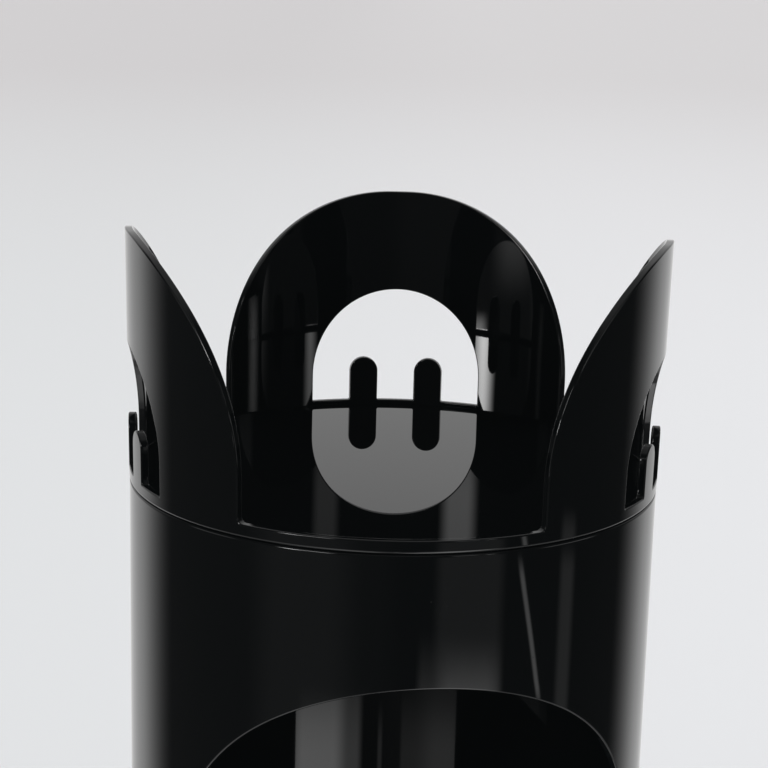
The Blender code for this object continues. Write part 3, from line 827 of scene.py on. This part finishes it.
def make_room():
    """The studio as a glossy wall sees it. Directions are in degrees, radiance is relative to white."""
    middle, fade_start, fade_end, glow, plain_field = 2.75, 109.5, 141.0, 0.025, 0.64
    room = Room()
    off_middle = room.sum(room.sum(room.azimuth, -middle), 0.0, "ABSOLUTE")
    backdrop = room.ramp(off_middle, fade_start, fade_end)              # pale, behind the bin
    horizon = room.ramp(room.elevation, 0.0, 12.0, 0.80, 0.58)
    top_edge = room.ramp(room.elevation, 40.0, 60.0, 1.0, 0.08)
    backdrop = room.sum(backdrop, horizon, "MULTIPLY")
    backdrop = room.sum(backdrop, top_edge, "MULTIPLY")
    panels = [
        # azimuths, elevations, radiance, softness, lean
        ((13, 49), (-90, -22.4), 0.65, (2.0, 2.0)),         # lit floor, front right
        ((23, 46), (-90, -22.6), 1.10, (4.0, 2.0)),
        ((20, 48), (-90, -14), 0.14, (3.0, 4.0)),
        ((-37, -7.5), (-90, -23.2), 0.19, (1.0, 1.0)),      # lit floor, front left
        ((-37, -20), (-90, -23.2), 0.14, (6.0, 1.0)),
        ((-56, -18), (-90, -15), 0.075, (9.0, 3.0)),
        ((-200, 200), (-90, -31), 0.42, (1.0, 5.0)),        # pale floor close to the bin
        ((-60, -12), (-90, -36), 0.35, (8.0, 8.0)),
        ((66, 92), (-9.5, 12), 0.9, (4.0, 2.0)),            # pale walls at the sides
        ((-90, -68), (-9.5, 12), 0.7, (4.0, 2.0)),
        ((2, 4), (-90, -23.4), 0.25, (0.7, 0.6)),
        ((55.5, 57.5), (-22.5, -18.6), 1.0, (0.7, 0.4), -3.0),  # thin lamp cable
        ((77, 84), (-90, -18.2), 0.22, (2.0, 0.5)),
        ((-140, 0), (-90, 20), 0.02, (6.0, 9.0)),
        ((-40, -25.5), (16.5, 30), 6.2, (3.5, 1.5)),        # key light, left of the camera
        ((-45.5, -38.5), (8.5, 14.8), 34.0, (3.5, 1.0)),    # bare lamp below it
        ((-42, -34), (-11.5, -9.9), 3.0, (2.5, 0.3)),
        ((27, 38), (16.5, 30), 1.5, (2.5, 1.5)),            # weaker ones, right of the camera
        ((39.5, 43.2), (8.5, 14.8), 4.5, (2.2, 1.0)),
        ((-64, -48), (-8.4, -6), 0.6, (6.0, 1.2)),
        ((-200, 200), (55, 91), 0.25, (1.0, 12.0)),         # ceiling
    ]
    light = room.sum(backdrop, glow)
    for panel in panels:
        light = room.sum(light, room.panel(*panel))
    rays = room.node("ShaderNodeLightPath").outputs
    plain = room.sum(rays["Is Camera Ray"], rays["Is Diffuse Ray"], "MAXIMUM")
    pick = room.node("ShaderNodeMix", {0: plain, 2: light, 3: plain_field}, data_type="FLOAT").outputs[0]
    room.put(room.shader.inputs["Strength"], pick)
    room.put(room.shader.inputs["Color"], (1.0, 1.0, 1.0, 1.0))


def make_floor():
    """Pale floor with a painted light fall-off: its colour is painted lighter on the right and greyer far
    away. Glossy walls see the room instead.
    """
    shape = Shape()
    turned(shape, [(r, 0.0, 0.0, 1.0) for r in (120.0, 20.0, 4.0, 1.0, 0.0)], segments=96)
    floor = shape.build("studio_floor", solid=False)
    paint = Paint("pale_floor")
    parts = paint.node("ShaderNodeSeparateXYZ", {"Vector": paint.place}).outputs
    away = paint.node("ShaderNodeVectorMath", {0: paint.place}, operation="LENGTH").outputs["Value"]
    left, right, near, far = -1.2, 1.0, 1.0, 12.0
    # painted light and shade: the colour is lighter to the right and darker far away, standing in for how
    # the light falls on the floor
    near_lit_tone = paint.mix(paint.ramp(parts["X"], left, right), (0.755, 0.768, 0.780), (0.825, 0.830, 0.850))
    grey = paint.mix(paint.ramp(parts["X"], left, right), (0.655, 0.640, 0.648), (0.690, 0.676, 0.684))
    painted_falloff = paint.node("ShaderNodeMix", {0: paint.ramp(away, near, far), 6: near_lit_tone, 7: grey}, data_type="RGBA")
    paint.set(Base_Color=painted_falloff.outputs[2], Roughness=0.9, Specular_IOR_Level=0.0)
    floor.data.materials.append(paint.material)
    floor.visible_glossy = False


def make_sun():
    light = bpy.data.lights.new("soft_overhead", "SUN")
    light.energy = 1.0
    light.angle = radians(50)
    lamp = bpy.data.objects.new("soft_overhead", light)
    lamp.rotation_euler = (radians(-20), radians(15), 0)
    lamp.visible_glossy = False
    bpy.context.scene.collection.objects.link(lamp)


# ---------------------------------------------------------------- camera
def make_camera():
    pitch, roll, yaw = 0.2316, 0.0250, -0.0061          # radians
    back, above = 6.9956 * R, 1.9968 * R                # from the bin's axis, and above the seam
    data = bpy.data.cameras.new("camera")
    data.sensor_width = 36.0
    data.lens = 88.88
    camera = bpy.data.objects.new("camera", data)
    level = Vector((sin(yaw), cos(yaw), 0))
    right = Vector((cos(yaw), -sin(yaw), 0))
    ahead = level * cos(pitch) - Vector((0, 0, 1)) * sin(pitch)
    up = level * sin(pitch) + Vector((0, 0, 1)) * cos(pitch)
    across = right * cos(roll) + up * sin(roll)
    upward = up * cos(roll) - right * sin(roll)
    turn = Matrix((across, upward, -ahead)).transposed().to_4x4()
    camera.matrix_world = Matrix.Translation((0, -back, SEAM_Z + above)) @ turn
    bpy.context.scene.collection.objects.link(camera)
    bpy.context.scene.camera = camera


def set_exposure():
    """Plain film response with a slightly lifted black."""
    look = bpy.context.scene.view_settings
    look.view_transform = "Standard"
    look.use_curve_mapping = True
    look.curve_mapping.black_level = (-0.0016, -0.0019, -0.0020)
    look.curve_mapping.update()


make_room()
make_floor()
make_sun()
make_camera()
set_exposure()
